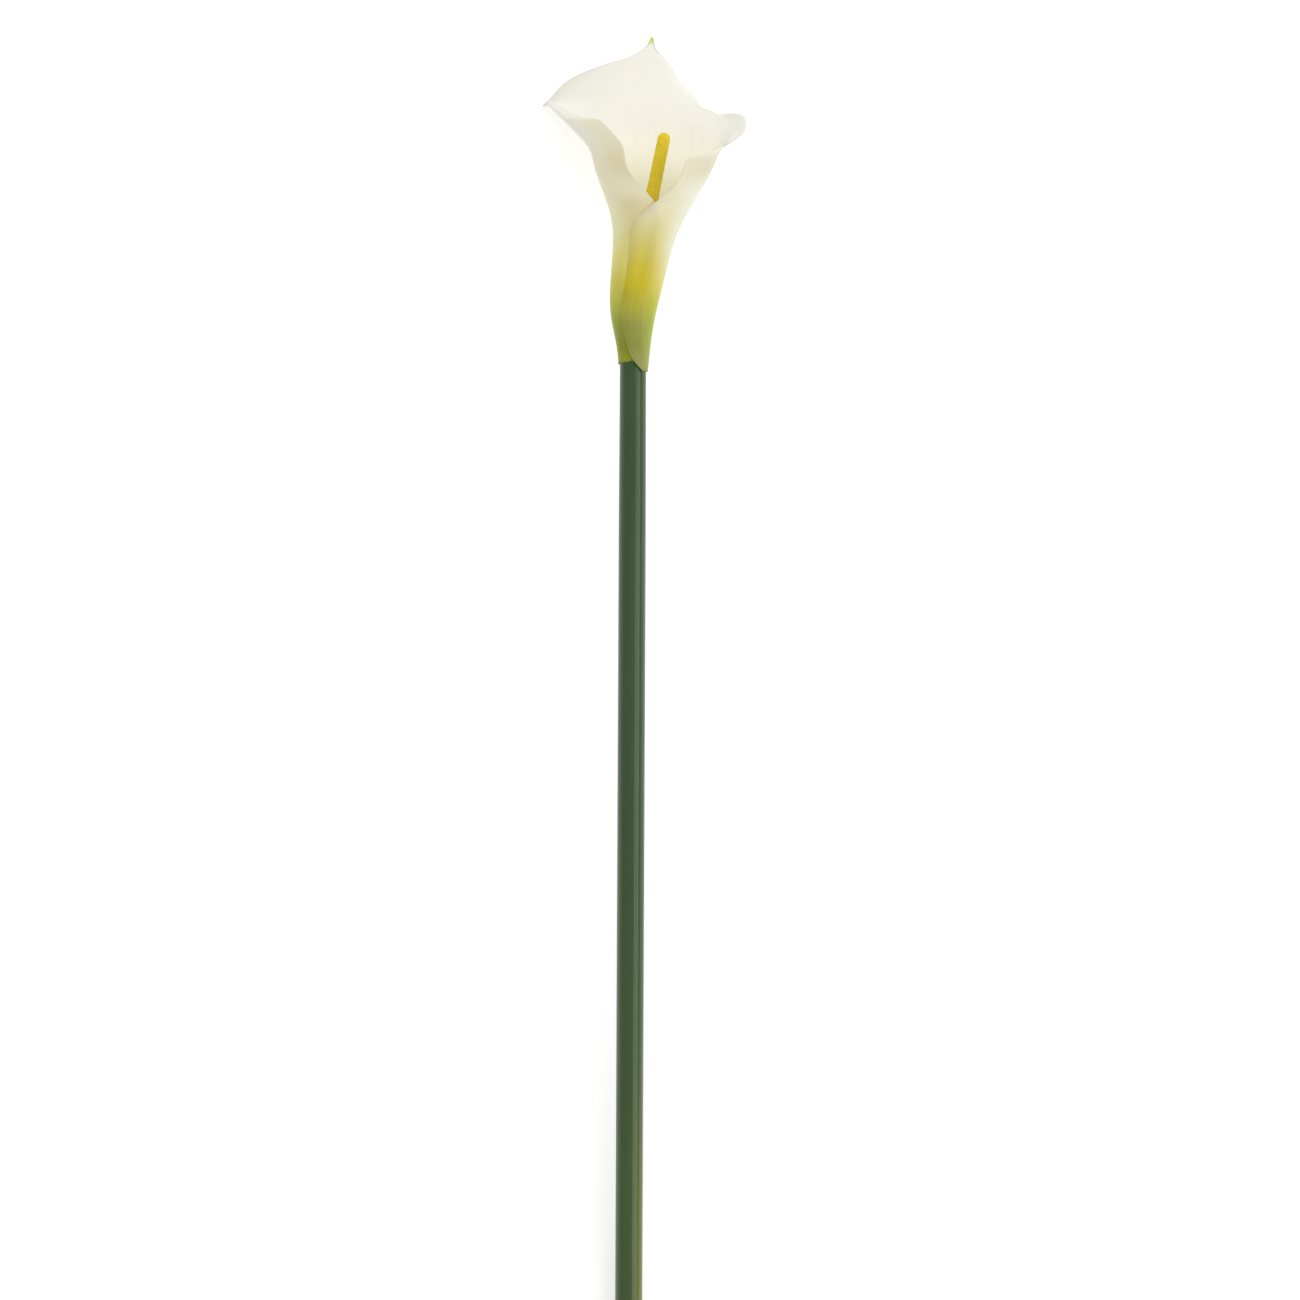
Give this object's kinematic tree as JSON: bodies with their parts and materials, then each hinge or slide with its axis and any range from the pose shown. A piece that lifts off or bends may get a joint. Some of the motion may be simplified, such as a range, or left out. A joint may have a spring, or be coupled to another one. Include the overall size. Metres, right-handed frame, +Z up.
{
  "type": "calla lily flower",
  "caption": "Calla lily: a white funnel-shaped spathe wrapped round a yellow spadix, on a long straight green cut stem, lying on its back.",
  "frame": {"origin": "the middle of the flower's box, on the surface that it lies on", "axes": "+Y along the stem towards the flower's tip, +Z up, out of the open front of the flower, +X to the right as the front is looked at with the tip at the top"},
  "size_m": [0.092, 0.6632, 0.0637],
  "materials": {
    "spathe": "waxy white petal, green at the foot, yellow glow in the throat",
    "spadix": "powdery yellow, covered in tiny florets",
    "stem": "smooth waxy dark green skin"
  },
  "bodies": {
    "root": {"spathe": "spathe", "spadix": "spadix", "stem": "stem"}
  },
  "joints": []
}
